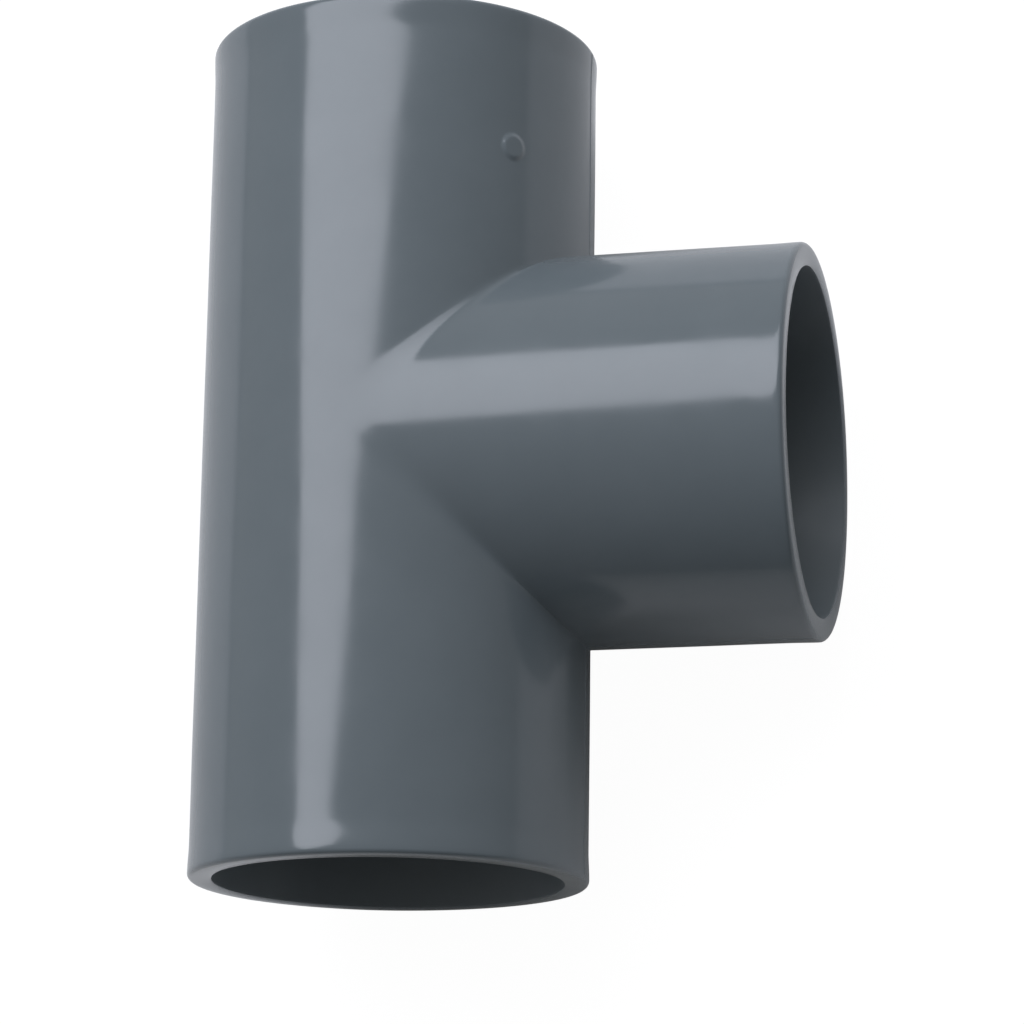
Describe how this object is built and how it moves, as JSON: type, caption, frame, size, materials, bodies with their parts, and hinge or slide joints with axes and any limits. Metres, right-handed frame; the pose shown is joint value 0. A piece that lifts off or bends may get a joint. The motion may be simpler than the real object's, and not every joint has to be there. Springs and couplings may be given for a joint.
{
  "type": "pvc tee fitting",
  "caption": "Plain equal pipe tee moulded in PVC, with straight-sided solvent-cement sockets on the run and the branch.",
  "frame": {"origin": "the point where the run's axis and the branch's axis cross, in the middle of the tee", "axes": "+Y along the straight run, +X along the branch towards its mouth, +Z square to the plane of the two axes, up when the tee lies flat"},
  "size_m": [0.0585, 0.08, 0.037],
  "materials": {
    "moulded_pvc": "injection-moulded grey uPVC, semi-gloss, the colour all the way through"
  },
  "bodies": {
    "root": {"tee_body": "moulded_pvc"}
  },
  "joints": []
}
